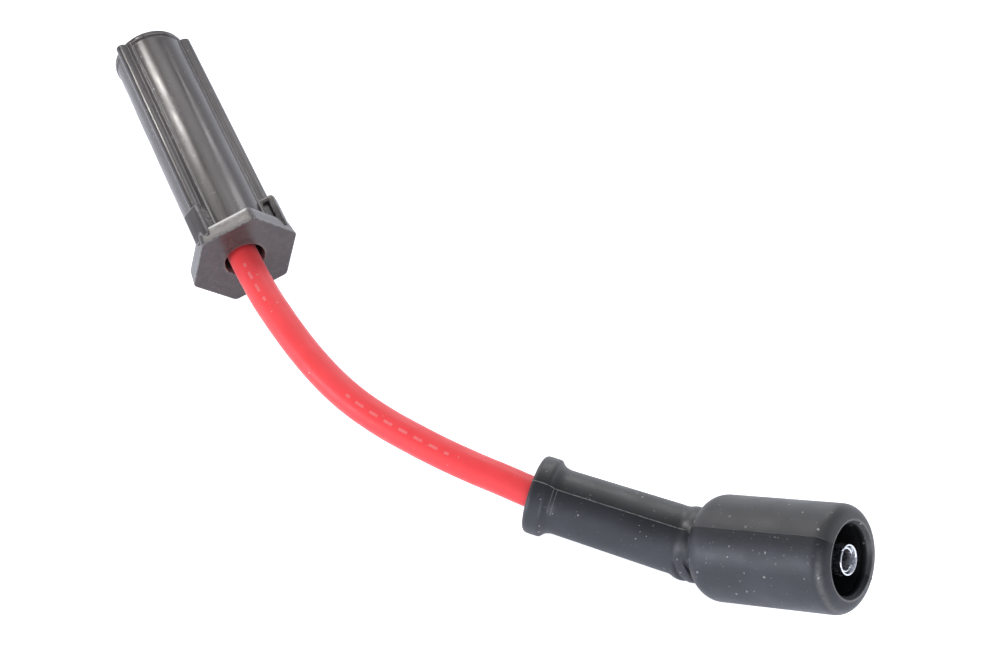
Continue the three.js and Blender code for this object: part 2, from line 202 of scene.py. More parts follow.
class LeadFinish(PropertyGroup):
    sleeve: colour_property("Sleeve", "Warm grey moulded plastic", (0.062, 0.053, 0.051))
    # Also the darker, shaded half of the boot below the mould seam, and the base of its painted shade
    boot: colour_property("Boot", "Charcoal rubber", (0.028, 0.03, 0.035))
    # Lighter, warmer copy of the rubber for the half above the mould seam: painted light from above
    boot_lit_half: colour_property("Boot's upper half", "Rubber above the mould seam", (0.05, 0.049, 0.048))
    wire: colour_property("Wire", "Red silicone", (0.94, 0.048, 0.052))
    ink: colour_property("Ink", "Plain dashes on the wire", (0.85, 0.3, 0.28))
    steel: colour_property("Steel", "Terminals", (0.86, 0.88, 0.92))
    liner: colour_property("Liner", "Black silicone in the sleeve", (0.012, 0.012, 0.014))
    # Also the colour of the painted highlights on the boot and on the sleeve's edges
    dust: colour_property("Dust", "Pale specks and flash", (0.42, 0.4, 0.38))
    floor: colour_property("Floor", "Pale floor under the lead", (0.9, 0.9, 0.9))


# Places and turns


def aim(azimuth, pitch, roll=0.0):
    """Turn that takes local +Z to a direction and keeps local +Y as high as it can be."""
    a, p = math.radians(azimuth), math.radians(pitch)
    z = Vector((math.cos(p) * math.cos(a), math.cos(p) * math.sin(a), math.sin(p)))
    x = Vector((0, 0, 1)).cross(z).normalized()
    y = z.cross(x)
    turn = Matrix((x, y, z)).transposed().to_4x4()
    return turn @ Matrix.Rotation(math.radians(roll), 4, "Z")


def placed(place, turn):
    return Matrix.Translation(Vector(place) * MM) @ turn


SLEEVE_FRAME = placed(SLEEVE_PLACE, aim(0, SLEEVE_PITCH, SLEEVE_ROLL))
CUP_FRAME = placed(BEND_PLACE, aim(*CUP_AIM))
NECK_FRAME = placed(BEND_PLACE, aim(*NECK_AIM))


def blend(a, b, low, high, u):
    """Value at u on the straight line from a at low to b at high."""
    return (high - u) / (high - low) * a + (u - low) / (high - low) * b


def smooth_route(points, step):
    """Centripetal Catmull-Rom line through the points, as (points, arc lengths)."""
    p = np.array(points, float)
    p = np.vstack([2 * p[0] - p[1], p, 2 * p[-1] - p[-2]])
    out = []
    for i in range(1, len(p) - 2):
        four = p[i - 1 : i + 3]
        t = np.concatenate([[0], np.cumsum(np.sqrt(np.linalg.norm(np.diff(four, axis=0), axis=1)))])
        count = max(2, round(float(np.linalg.norm(four[2] - four[1])) / step))
        for u in np.linspace(t[1], t[2], count, endpoint=False):
            a = [blend(four[k], four[k + 1], t[k], t[k + 1], u) for k in range(3)]
            b = [blend(a[k], a[k + 1], t[k], t[k + 2], u) for k in range(2)]
            out.append(blend(b[0], b[1], t[1], t[2], u))
    out = np.array([*out, p[-2]])
    run = np.concatenate([[0], np.cumsum(np.linalg.norm(np.diff(out, axis=0), axis=1))])
    return out, run


# Meshes


def new_object(name, mesh, look):
    mesh.materials.append(look)
    obj = bpy.data.objects.new(name, mesh)
    bpy.context.scene.collection.objects.link(obj)
    return obj


@contextmanager
def edited(mesh):
    """Opens a mesh for editing and writes it back."""
    work = bmesh.new()
    work.from_mesh(mesh)
    yield work
    work.to_mesh(mesh)
    work.free()


def grid_mesh(name, rings, wrap_rings=False, cap=False):
    """Mesh of quads from an array of rings of points, with the rings joined in order."""
    rings = np.asarray(rings, float)
    count, around, _ = rings.shape
    rows = count if wrap_rings else count - 1
    i, j = np.meshgrid(np.arange(rows), np.arange(around), indexing="ij")
    k, m = (i + 1) % count, (j + 1) % around
    faces = np.stack([i * around + j, i * around + m, k * around + m, k * around + j], -1)
    faces = faces.reshape(-1, 4).tolist()
    if cap:
        faces.append(list(range(around))[::-1])
        faces.append([(count - 1) * around + n for n in range(around)])
    mesh = bpy.data.meshes.new(name)
    mesh.from_pydata(rings.reshape(-1, 3).tolist(), [], faces)
    return mesh


def outward(mesh):
    """Turns all faces of closed shells outwards."""
    with edited(mesh) as work:
        bmesh.ops.recalc_face_normals(work, faces=work.faces)


def shade(obj, angle=40.0):
    """Smooth shading, with edges steeper than the angle kept sharp."""
    mesh = obj.data
    mesh.shade_smooth()
    mesh.set_sharp_from_angle(angle=math.radians(angle))


def joined(obj, others):
    """Joins the meshes of other objects, all without a transform of their own, into one."""
    with edited(obj.data) as work:
        for part in others:
            work.from_mesh(part.data)
            bpy.data.objects.remove(part)
    return obj


def applied(obj, kind, **settings):
    """Adds a modifier and applies it to the mesh."""
    modifier = obj.modifiers.new(kind.lower(), kind)
    for key, value in settings.items():
        setattr(modifier, key, value)
    with bpy.context.temp_override(object=obj, active_object=obj, selected_objects=[obj]):
        bpy.ops.object.modifier_apply(modifier=modifier.name)


def store(mesh, name, values):
    """Stores one number per vertex as an attribute."""
    layer = mesh.attributes.get(name) or mesh.attributes.new(name, "FLOAT", "POINT")
    layer.data.foreach_set("value", values)


def mark_edges(mesh, low=10.0, high=32.0):
    """Stores how sharply the mesh turns outwards at each vertex, for the paler edges: rubbed wear and painted
    highlights.
    """
    with edited(mesh) as work:
        layer = work.verts.layers.float.new("edge_wear_and_highlight")
        for edge in work.edges:
            turn = math.degrees(edge.calc_face_angle_signed(0.0))
            share = min(1.0, max(0.0, (turn - low) / (high - low)))
            for vertex in edge.verts:
                vertex[layer] = max(vertex[layer], share)


def mesh_arrays(mesh):
    """Places and normals of a mesh's vertices."""
    place, normal = np.empty((2, len(mesh.vertices), 3), np.float32)
    mesh.vertices.foreach_get("co", place.ravel())
    mesh.vertices.foreach_get("normal", normal.ravel())
    return place, normal


def local_mm(places, frame_of):
    """Places in millimetres in a frame of their own."""
    back = np.array(frame_of.inverted())
    return (places @ back[:3, :3].T + back[:3, 3]) / MM


def round_corner(x, y, radius, start, end, steps):
    """Points of an arc about (x, y), with angles in degrees."""
    t = np.radians(np.linspace(start, end, steps + 1))
    return [(x + radius * math.cos(a), y + radius * math.sin(a)) for a in t]


def lathe(name, profile, around, frame_of):
    """Solid of revolution about a frame's Z from (radius, z) points in millimetres that start and end on
    the axis or close on themselves."""
    p = np.array(profile, float) * MM
    on_axis = p[0, 0] == 0 and p[-1, 0] == 0
    if on_axis:
        p[0, 0] = p[-1, 0] = 1e-6
    t = np.linspace(0, 2 * np.pi, around, endpoint=False)
    rings = np.stack(
        [p[:, :1] * np.cos(t), p[:, :1] * np.sin(t), np.repeat(p[:, 1:], around, 1)], -1
    )
    mesh = grid_mesh(name, rings, wrap_rings=not on_axis, cap=on_axis)
    outward(mesh)
    mesh.transform(frame_of)
    return mesh


# Shader node groups


class Net:
    """Adds and links the nodes of one node tree."""

    def __init__(self, tree):
        self.tree = tree

    def add(self, kind, inputs=(), **settings):
        node = self.tree.nodes.new(kind)
        for key, value in settings.items():
            setattr(node, key, value)
        for key, value in dict(inputs).items():
            if isinstance(value, bpy.types.NodeSocket):
                self.link(value, node.inputs[key])
            else:
                node.inputs[key].default_value = value
        return node

    def link(self, value, socket):
        self.tree.links.new(value, socket)

    def feed(self, sockets, values):
        """Links values to sockets by name."""
        for name, value in values.items():
            self.link(value, sockets[name])
        return self.tree

    def math(self, operation, *values, clamp=False):
        return self.add("ShaderNodeMath", enumerate(values), operation=operation, use_clamp=clamp).outputs[0]

    def times(self, first, *others):
        for value in others:
            first = self.math("MULTIPLY", first, value)
        return first

    def plus(self, a, b):
        return self.math("ADD", a, b)

    def minus(self, a, b):
        return self.math("SUBTRACT", a, b)

    def ramp(self, value, low, high, to_low=0.0, to_high=1.0, smooth=True):
        kind = "SMOOTHSTEP" if smooth else "LINEAR"
        ends = {0: value, 1: low, 2: high, 3: to_low, 4: to_high}
        return self.add("ShaderNodeMapRange", ends, interpolation_type=kind).outputs[0]

    def mix(self, share, a, b):
        return self.add("ShaderNodeMix", {0: share, 6: a, 7: b}, data_type="RGBA").outputs[2]

    def noise(self, vector, scale, detail=3.0, rough=0.55):
        sockets = {"Vector": vector, "Scale": scale, "Detail": detail, "Roughness": rough}
        return self.add("ShaderNodeTexNoise", sockets).outputs["Fac"]

    def stored(self, name):
        return self.add("ShaderNodeAttribute", attribute_name=name).outputs["Fac"]

    def scaled(self, vector, x, y, z):
        return self.add("ShaderNodeMapping", {"Vector": vector, "Scale": (x, y, z)}).outputs[0]

    def group(self, name, **inputs):
        """Outputs of a shared group, with its inputs given by name."""
        sockets = {key.replace("_", " ").capitalize(): value for key, value in inputs.items()}
        return self.add("ShaderNodeGroup", sockets, node_tree=groups()[name]).outputs


def new_group(name, inputs, outputs):
    """Empty node group with the labelled sockets, as (net, what it is given, what it puts out)."""
    tree = bpy.data.node_groups.new(name, "ShaderNodeTree")
    kinds = {"vector": "NodeSocketVector", "colour": "NodeSocketColor"}
    for labels, way in ((inputs, "INPUT"), (outputs, "OUTPUT")):
        for label in labels.split(", "):
            kind = kinds.get(label.split()[-1].lower(), "NodeSocketFloat")
            tree.interface.new_socket(label, in_out=way, socket_type=kind)
    net = Net(tree)
    return net, net.add("NodeGroupInput").outputs, net.add("NodeGroupOutput").inputs


def mottle_group():
    """Slow change of colour over a moulding."""
    net, given, out = new_group("mottle", "Vector, Colour, Light colour, Scale, Amount", "Colour, Mask")
    broad = net.noise(given["Vector"], given["Scale"], 4.0)
    mask = net.times(net.ramp(broad, 0.38, 0.68), given["Amount"])
    colour = net.mix(mask, given["Colour"], given["Light colour"])
    return net.feed(out, {"Mask": mask, "Colour": colour})


def dust_group():
    """Sparse pale specks of dust and fluff."""
    net, given, out = new_group("dust_specks", "Vector, Colour, Dust colour, Scale, Amount", "Colour, Mask")
    cells = net.add("ShaderNodeTexVoronoi", {key: given[key] for key in ("Vector", "Scale")}, feature="F1")
    pick = net.add("ShaderNodeSeparateColor", {0: cells.outputs["Color"]}).outputs
    size = net.times(net.ramp(pick[0], 0.62, 1.0, 0.0, 0.24, smooth=False), given["Amount"])
    edge = net.noise(given["Vector"], net.times(given["Scale"], 3.0), 2.0)
    reach = net.plus(cells.outputs["Distance"], net.ramp(edge, 0.25, 0.75, -0.12, 0.12))
    mask = net.times(net.math("LESS_THAN", reach, size), net.ramp(pick[1], 0.0, 1.0, 0.25, 0.95))
    colour = net.mix(mask, given["Colour"], given["Dust colour"])
    return net.feed(out, {"Mask": mask, "Colour": colour})


def scratch_group():
    """Sparse fine scratches, drawn out along one direction of the vector."""
    net, given, out = new_group("fine_scratches", "Vector, Scale, Amount", "Mask, Height")
    lines = net.noise(given["Vector"], given["Scale"], 6.0, 0.7)
    thin = net.ramp(net.math("ABSOLUTE", net.minus(lines, 0.62)), 0.0, 0.006, 1.0, 0.0)
    where = net.ramp(net.noise(given["Vector"], net.times(given["Scale"], 0.15)), 0.52, 0.66)
    mask = net.times(thin, where, given["Amount"])
    return net.feed(out, {"Mask": mask, "Height": net.times(mask, -1.0)})


def edge_group():
    """Paler edges, from how sharply the mesh turns outwards: partly rubbed wear and partly painted highlight
    where they catch the light.
    """
    net, given, out = new_group("worn_and_lit_edges", "Vector, Colour, Edge colour, Amount", "Colour, Mask")
    sharp = net.stored("edge_wear_and_highlight")
    broken = net.ramp(net.noise(given["Vector"], 700.0, 5.0, 0.65), 0.32, 0.62, 0.12, 1.0)
    mask = net.times(net.ramp(sharp, 0.0, 1.0), net.times(broken, given["Amount"]))
    colour = net.mix(mask, given["Colour"], given["Edge colour"])
    return net.feed(out, {"Mask": mask, "Colour": colour})


def grain_group():
    """Height of a moulded or ground surface: fine grain and slow waves."""
    net, given, out = new_group("mould_grain", "Vector, Scale, Wave", "Height")
    fine = net.noise(given["Vector"], given["Scale"], 4.0, 0.6)
    slow = net.noise(given["Vector"], net.times(given["Scale"], 0.08), 2.0)
    return net.feed(out, {"Height": net.plus(fine, net.times(slow, given["Wave"]))})


def groups():
    """The shared node groups, built once."""
    makers = {
        "mottle": mottle_group,
        "dust_specks": dust_group,
        "fine_scratches": scratch_group,
        "worn_and_lit_edges": edge_group,
        "mould_grain": grain_group,
    }
    return {name: bpy.data.node_groups.get(name) or make() for name, make in makers.items()}


# Materials


def rgba(colour, factor=1.0):
    return (*[min(1.0, c * factor) for c in colour], 1.0)


def empty_net(owner):
    """Net of a material's or world's node tree, with its first nodes taken out."""
    owner.use_nodes = True
    owner.node_tree.nodes.clear()
    return Net(owner.node_tree)


def new_material(name, **sockets):
    """Material with a Principled BSDF, as (material, net, shader, object coordinates)."""
    look = bpy.data.materials.new(name)
    net = empty_net(look)
    shader = net.add("ShaderNodeBsdfPrincipled", {k.replace("_", " "): v for k, v in sockets.items()})
    net.add("ShaderNodeOutputMaterial", {"Surface": shader.outputs[0]})
    place = net.add("ShaderNodeTexCoord").outputs["Object"]
    return look, net, shader, place


def dress(net, shader, colour, rough, height, strength, distance):
    """Feeds a shader its colour, roughness and bump."""
    bump = net.add("ShaderNodeBump", {"Height": height, "Strength": strength, "Distance": distance})
    net.feed(shader.inputs, {"Base Color": colour, "Roughness": rough, "Normal": bump.outputs[0]})


def mottled(net, vector, colour, lighter, scale, amount):
    """Outputs of slow patches of a lighter colour on a base colour."""
    return net.group("mottle", vector=vector, colour=colour, light_colour=lighter, scale=scale, amount=amount)


def dusted(net, vector, colour, dust, scale, amount):
    """Outputs of specks of dust on a colour."""
    return net.group(
        "dust_specks", vector=vector, colour=colour, dust_colour=dust, scale=scale, amount=amount
    )


def sleeve_plastic(finish):
    look, net, shader, place = new_material("sleeve_plastic", Specular_IOR_Level=0.62)
    long, drawn = net.scaled(place, 0.3, 1, 1), net.scaled(place, 0.06, 1, 1)
    tone = mottled(net, long, rgba(finish.sleeve, 0.85), rgba(finish.sleeve, 1.3), scale=110.0, amount=0.7)
    streaks = mottled(net, drawn, tone["Colour"], rgba(finish.sleeve, 1.6), scale=700.0, amount=0.4)
    marks = net.group("fine_scratches", vector=net.scaled(place, 0.35, 1, 1), scale=150.0, amount=0.55)
    colour = net.mix(marks["Mask"], streaks["Colour"], rgba(finish.dust, 0.55))
    # Paler edges: rubbed wear, and painted highlights where they catch the light
    edges = net.group(
        "worn_and_lit_edges", vector=place, colour=colour, edge_colour=rgba(finish.dust, 0.75), amount=0.65
    )
    dust = dusted(net, place, edges["Colour"], rgba(finish.dust, 0.6), scale=620.0, amount=0.6)
    # Painted highlight on the back edge of the collar's upper flat, where the stored edge value is above 1
    sharp = net.stored("edge_wear_and_highlight")
    collar_edge_highlight = net.mix(net.ramp(sharp, 1.1, 1.8), dust["Colour"], rgba(finish.dust, 1.6))
    uneven = net.ramp(net.noise(net.scaled(place, 0.4, 1, 1), 190.0, 5.0, 0.6), 0.35, 0.68, 0.14, 0.27)
    rough = net.plus(uneven, net.times(streaks["Mask"], 0.06))
    rough = net.plus(rough, net.times(marks["Mask"], 0.2))
    rough = net.plus(rough, net.times(dust["Mask"], 0.3))
    grain = net.group("mould_grain", vector=net.scaled(place, 0.5, 1, 1), scale=1500.0, wave=2.0)
    height = net.plus(grain["Height"], marks["Height"])
    dress(net, shader, collar_edge_highlight, rough, height, strength=0.2, distance=0.00006)
    return look


def mould_half(net, place, frame_of, seam):
    """Distance from the mould's parting plane, positive above the seam, and the distance along the axis."""
    turn = net.add(
        "ShaderNodeMapping",
        {"Vector": place, "Location": frame_of.to_translation(), "Rotation": frame_of.to_euler()},
        vector_type="TEXTURE",
    ).outputs[0]
    x, y, z = net.add("ShaderNodeSeparateXYZ", {0: turn}).outputs[:3]
    a = math.radians(seam)
    return net.minus(net.times(x, math.sin(a)), net.times(y, math.cos(a))), z


def boot_rubber(finish):
    """Charcoal rubber with painted light: a lighter, warmer copy above the mould seam for the lit upper half
    and a darker, cooler colour below it for the shaded half; painted shade beside the seam, in the folds, the
    cavity and the mouth's bevel; painted highlights on the bulges at the bend, the seams, the collar step,
    the mouth's rim and a band behind the cup's front edge; and dusty."""
    look, net, shader, place = new_material("boot_rubber", Specular_IOR_Level=0.5)
    on_neck, _ = mould_half(net, place, NECK_FRAME, NECK_SEAM)
    on_cup, along = mould_half(net, place, CUP_FRAME, CUP_SEAM)
    is_cup = net.ramp(along, 0.002, 0.0026)
    side = net.plus(net.times(is_cup, on_cup), net.times(net.minus(1.0, is_cup), on_neck))
    # Side of the mould seam, for painted light: the lit copy of the rubber above it, the shaded one below
    above = net.ramp(side, -0.00006, 0.00006)
    shaded_half_colour, lit_half_colour = finish.boot, finish.boot_lit_half
    lower = mottled(net, place, rgba(shaded_half_colour), rgba(shaded_half_colour, 1.6), scale=75.0, amount=0.6)
    upper = mottled(net, place, rgba(lit_half_colour), rgba(lit_half_colour, 1.35), scale=90.0, amount=0.6)
    colour = net.mix(above, lower["Colour"], upper["Colour"])
    # Painted shade in a band just below the seam, and on the neck in a band just above it
    under = net.times(net.ramp(side, -0.0045, -0.0001), net.minus(1.0, above))
    fading = net.ramp(side, 0.0002, 0.0035, 1.0, 0.0)
    over = net.math("MULTIPLY", fading, net.minus(above, is_cup), clamp=True)
    colour = net.mix(net.times(net.math("MAXIMUM", under, over), 0.62), colour, rgba(finish.boot, 0.35))
    # Painted light stored on the mesh: negative for painted shade, positive for painted highlights
    painted_light = net.stored("painted_light")
    # Painted shade in the folds, the cavity and the mouth's bevel
    colour = net.mix(net.ramp(painted_light, -1.0, 0.0, 0.85, 0.0), colour, rgba(finish.boot, 0.12))
    # Painted highlights on the bulges, the seams, the collar step, the mouth's rim and the band behind the
    # cup's front edge, in a pale colour
    pale = net.times(net.ramp(painted_light, 0.0, 1.0), net.ramp(net.noise(place, 900.0), 0.3, 0.6, 0.5, 1.0))
    colour = net.mix(net.times(pale, 0.65), colour, rgba(finish.dust, 0.6))
    dust = dusted(net, place, colour, rgba(finish.dust, 0.9), scale=560.0, amount=0.8)
    finer = net.scaled(place, 1.3, 1.3, 1.3)
    fine = dusted(net, finer, dust["Colour"], rgba(finish.dust, 0.4), scale=900.0, amount=0.8)
    rough = net.ramp(net.noise(place, 120.0, 3.0), 0.3, 0.7, 0.4, 0.5)
    rough = net.plus(rough, net.times(dust["Mask"], 0.3))
    grain = net.group("mould_grain", vector=place, scale=3200.0, wave=0.8)
    height = net.plus(grain["Height"], net.times(dust["Mask"], 1.5))
    dress(net, shader, fine["Colour"], rough, height, strength=0.25, distance=0.00006)
    return look


def wire_silicone(finish):
    """Red silicone with a broken row of plain pale dashes on its upper side."""
    look, net, shader, place = new_material(
        "wire_silicone", Specular_IOR_Level=0.5, Sheen_Weight=0.25, Sheen_Roughness=0.5
    )
    tone = mottled(net, place, rgba(finish.wire), rgba(finish.wire, 1.15), scale=160.0, amount=0.5)
    colour = tone["Colour"]
    line = net.add("ShaderNodeUVMap", uv_map="run").outputs[0]
    along, around = net.add("ShaderNodeSeparateXYZ", {0: line}).outputs[:2]
    worn = net.ramp(net.noise(place, 1300.0, 3.0), 0.3, 0.6, 0.55, 0.85)
    dash = net.ramp(net.math("PINGPONG", along, DASH_PITCH), 0.0012, 0.00128, 1.0, 0.0)
    band = net.ramp(net.math("ABSOLUTE", net.minus(around, PRINT_TURN)), 0.012, 0.016, 1.0, 0.0)
    for low, high in PRINTED:
        stretch = net.times(net.math("GREATER_THAN", along, low), net.math("LESS_THAN", along, high))
        mask = net.times(net.times(stretch, band), net.times(dash, worn), 0.6)
        colour = net.mix(mask, colour, rgba(finish.ink))
    dust = dusted(net, place, colour, rgba(finish.ink, 0.9), scale=500.0, amount=0.35)
    rough = net.ramp(net.noise(place, 240.0), 0.3, 0.7, 0.4, 0.52)
    grain = net.group("mould_grain", vector=place, scale=2200.0, wave=1.5)
    dress(net, shader, dust["Colour"], rough, grain["Height"], strength=0.2, distance=0.00005)
    return look


def terminal_steel(finish):
    look, net, shader, place = new_material("terminal_steel", Metallic=1.0)
    tone = mottled(net, place, rgba(finish.steel), rgba(finish.steel, 1.3), scale=300.0, amount=0.7)
    marks = net.group("fine_scratches", vector=net.scaled(place, 0.3, 1, 1), scale=900.0, amount=0.6)
    colour = net.mix(marks["Mask"], tone["Colour"], rgba(finish.steel, 0.5))
    rough = net.ramp(tone["Mask"], 0.0, 0.7, 0.16, 0.3)
    grain = net.group("mould_grain", vector=net.scaled(place, 0.2, 1, 1), scale=4000.0, wave=0.5)
    height = net.plus(grain["Height"], marks["Height"])
    dress(net, shader, colour, rough, height, strength=0.15, distance=0.00003)
    return look


def plain_rubber(name, colour, dust_colour):
    """Liner's silicone and the core's coated fibre."""
    look, net, shader, place = new_material(name, Specular_IOR_Level=0.4)
    tone = mottled(net, place, rgba(colour), rgba(colour, 1.8), scale=180.0, amount=0.6)
    dust = dusted(net, place, tone["Colour"], rgba(dust_colour), scale=500.0, amount=0.4)
    rough = net.ramp(tone["Mask"], 0.0, 0.6, 0.5, 0.65)
    grain = net.group("mould_grain", vector=place, scale=2400.0, wave=0.6)
    dress(net, shader, dust["Colour"], rough, grain["Height"], strength=0.3, distance=0.00006)
    return look


def stage_look(name, colour):
    """Pale floor that the camera and reflections see as white, and that keeps a shadow."""
    look = bpy.data.materials.new(name)
    net = empty_net(look)
    path = net.add("ShaderNodeLightPath").outputs
    seen = net.math("MAXIMUM", path["Is Camera Ray"], net.times(path["Is Glossy Ray"], FLOOR_MIRRORED))
    seen = net.math("MAXIMUM", seen, path["Is Transmission Ray"])
    matt = net.add("ShaderNodeBsdfDiffuse", {"Color": rgba(colour)}).outputs[0]
    tint = net.mix(path["Is Camera Ray"], (0.9, 0.94, 1.08, 1), (1, 1, 1, 1))
    glow = net.add("ShaderNodeEmission", {"Color": tint, "Strength": net.times(seen, FLOOR_GLOW)})
    both = net.add("ShaderNodeAddShader", {0: matt, 1: glow.outputs[0]}).outputs[0]
    net.add("ShaderNodeOutputMaterial", {"Surface": both})
    return look


# Pieces


def sleeve_radius(sizes, angle, z):
    """Outside of the sleeve's body and rails, and of the body alone, in millimetres."""
    share = (-z - 5.0) / (sizes.length / MM - 5.0)
    base = (sizes.front_radius + (sizes.end_radius - sizes.front_radius) * share) / MM
    third = 2 * math.pi / 3
    off = (angle + math.pi / 2 + third / 2) % third - third / 2
    out = np.full_like(angle, base)
    out = np.where(np.abs(off) < sizes.shoulder_angle / 2, base + sizes.shoulder_height / MM, out)
    half = sizes.ridge_width / MM / 2
    centre = base + sizes.ridge_height / MM - half
    side = centre * np.sin(off)
    round_top = centre * np.cos(off) + np.sqrt(np.maximum(half**2 - side**2, 0))
    return np.where(np.abs(side) < half, np.maximum(out, round_top), out), base


def collar_radius(sizes, angle, z):
    """Outside of the hexagonal collar, in millimetres."""
    flat = sizes.across_flats / MM / 2
    corner = sizes.collar_corner / MM
    scale = 1 + math.tan(sizes.collar_draft) * z / flat
    centre = (flat - corner) / math.cos(math.radians(30))
    sixth = math.pi / 3
    off = np.abs(angle % sixth - sixth / 2)
    on_flat = flat / np.cos(sixth / 2 - off)
    side = centre * np.sin(off)
    on_corner = centre * np.cos(off) + np.sqrt(np.maximum(corner**2 - side**2, 0))
    turn = math.atan2(corner / 2, centre + corner * math.cos(math.radians(30)))
    return np.where(off < turn, on_corner, on_flat) * scale


def softened(radii, spread):
    """Radii round a ring, with their steps eased over the neighbours."""
    kernel = np.exp(-0.5 * (np.arange(-4, 5) / spread) ** 2)
    kernel /= kernel.sum()
    return sum(k * np.roll(radii, n - 4) for n, k in enumerate(kernel))


def sleeve_rings(sizes, around):
    """Rings of points of the sleeve's shell: outside, collar, face, wire hole, chamber and bore."""
    angle = np.linspace(0, 2 * math.pi, around, endpoint=False)
    length = sizes.length / MM
    thick = sizes.collar_thickness / MM
    bore, hole = sizes.bore_radius / MM, sizes.wire_hole / MM
    rings = []

    def ring(radius, z):
        radius = np.broadcast_to(radius, angle.shape)
        z = np.broadcast_to(z, angle.shape)
        rings.append(np.stack([radius * np.cos(angle), radius * np.sin(angle), z], -1) * MM)

    def rounded(edge, z, radius, turns):
        """Rings of a rounded edge, with its centre at a height."""
        for a in np.radians(turns):
            ring(edge - radius + radius * np.cos(a), z + radius * np.sin(a))

    lip = sizes.end_radius / MM + 0.25
    ring(bore + 0.25, -length)
    ring(lip - 0.35, -length)
    rounded(lip, -length + 0.3, 0.3, (-60, -30, 0))
    rail_end = -length + 0.8
    rail = softened(sleeve_radius(sizes, angle, rail_end)[0], 1.1)
    for share, step in ((0.0, -0.02), (0.5, 0.0), (0.85, 0.06), (1.0, 0.25)):
        ring(np.maximum(lip, lip + (rail - lip) * share), rail_end + step)
    for z, rise in ((-79.6, 1.0), (-79.4, 0.5), (-79.2, 0.0)):
        outside, base = sleeve_radius(sizes, angle, z)
        ring(np.maximum(softened(outside, 1.1), base + 0.25 * rise), z)
    for z in np.linspace(-78.5, -6.2, 30):
        ring(softened(sleeve_radius(sizes, angle, z)[0], 1.1), z)
    body = softened(sleeve_radius(sizes, angle, -thick)[0], 1.1)
    back = softened(collar_radius(sizes, angle, -thick), 0.7)
    front = softened(collar_radius(sizes, angle, 0), 0.7)
    for radius, z in ((body, 0.5), (body + 0.12, 0.15), (body + 0.5, 0), (back - 0.6, 0), (back - 0.35, 0)):
        ring(radius, -thick - z)
    rounded(back, -thick + 0.25, 0.25, (-60, -30, 0))
    for share in (0.08, 0.4, 0.7, 0.9):
        ring(back + (front - back) * share, -thick + thick * share)
    rounded(front, -0.22, 0.22, (0, 30, 60, 90))
    for radius, z in (
        (front - 0.5, 0), (11.2, 0), (10.3, 0), (10.0, -0.025), (9.7, 0), (8.0, 0), (6.6, 0),
        (hole + 0.5, 0), (hole + 0.15, -0.12), (hole, -0.4), (hole, -3.5), (hole, -6.9),
        (hole + 0.1, -7), (bore - 0.1, -7), (bore, -7.1),
        *((bore, z) for z in np.linspace(-20, -length + 0.6, 6)), (bore, -length + 0.25),
    ):
        ring(radius, z)
    return np.array(rings)


def puller_loop(sizes, angle, look):
    """One loop behind the collar, on the rail at an angle, with a slot under its strap that is closed up
    to its middle from one side."""
    radius, width = sizes.loop_radius / MM, sizes.loop_width / MM
    back = -sizes.collar_thickness / MM
    low = back - sizes.loop_reach / MM
    slot = sizes.loop_slot / MM
    root, buried, strap, floor, corner, slices = 9.2, back + 2.5, radius - 2, radius - 3.8, 1.3, 6
    profile = [
        (root, buried), (root, low), (radius - corner, low),
        *round_corner(radius - corner, low + corner, corner, -70, 0, 4),
        (radius, buried), (strap, buried), (strap, back - slot), (floor, back - slot), (floor, buried),
    ]
    mesh = bpy.data.meshes.new("puller_loop")
    with edited(mesh) as work:
        face = work.faces.new([work.verts.new((r * MM, -width / 2 * MM, z * MM)) for r, z in profile])
        for step in range(slices):
            grown = bmesh.ops.extrude_face_region(work, geom=[face])["geom"]
            moved = [v for v in grown if isinstance(v, bmesh.types.BMVert)]
            bmesh.ops.translate(work, verts=moved, vec=(0, width / slices * MM, 0))
            if step:
                work.faces.remove(face)
            face = next(f for f in grown if isinstance(f, bmesh.types.BMFace))
        for v in work.verts:
            if v.co.x > (radius - corner - 0.05) * MM:
                v.co.x -= radius * MM - math.sqrt((radius * MM) ** 2 - v.co.y**2)
        bmesh.ops.recalc_face_normals(work, faces=work.faces)
        sharp = [e for e in work.edges if e.is_manifold and e.calc_face_angle() > math.radians(40)]
        bmesh.ops.bevel(
            work, geom=sharp, offset=0.4 * MM, segments=3, profile=0.5, affect="EDGES", clamp_overlap=True
        )
        web = bmesh.ops.create_cube(work, size=MM)["verts"]
        bmesh.ops.scale(work, verts=web, vec=(2.4, width / 2 + 0.2, slot + 0.5))
        middle = ((radius - 2.9) * MM, (0.3 - width / 4) * MM, (back - slot / 2) * MM)
        bmesh.ops.translate(work, verts=web, vec=middle)
    mesh.transform(Matrix.Rotation(angle, 4, "Z"))
    return new_object("puller_loop", mesh, look)


def paint_edge_highlight(mesh, sizes):
    """Paints a highlight on the back edge of the collar's upper flat, by a stored edge value above 1."""
    x, y, z = local_mm(mesh_arrays(mesh)[0], SLEEVE_FRAME).T
    height = x * math.cos(UPPER_FLAT) + y * math.sin(UPPER_FLAT)
    along = np.abs(y * math.cos(UPPER_FLAT) - x * math.sin(UPPER_FLAT))
    thick, flat = sizes.collar_thickness / MM, sizes.across_flats / MM / 2
    edge = flat - math.tan(sizes.collar_draft) * thick
    line = (np.abs(z + thick - 0.2) < 0.25) & (height > edge - 0.2)
    edge_wear_and_highlight = np.empty(len(x), np.float32)
    mesh.attributes["edge_wear_and_highlight"].data.foreach_get("value", edge_wear_and_highlight)
    store(mesh, "edge_wear_and_highlight", np.where(line, 1 + np.clip(7.2 - along, 0, 1), np.minimum(edge_wear_and_highlight, 1)).astype(np.float32))


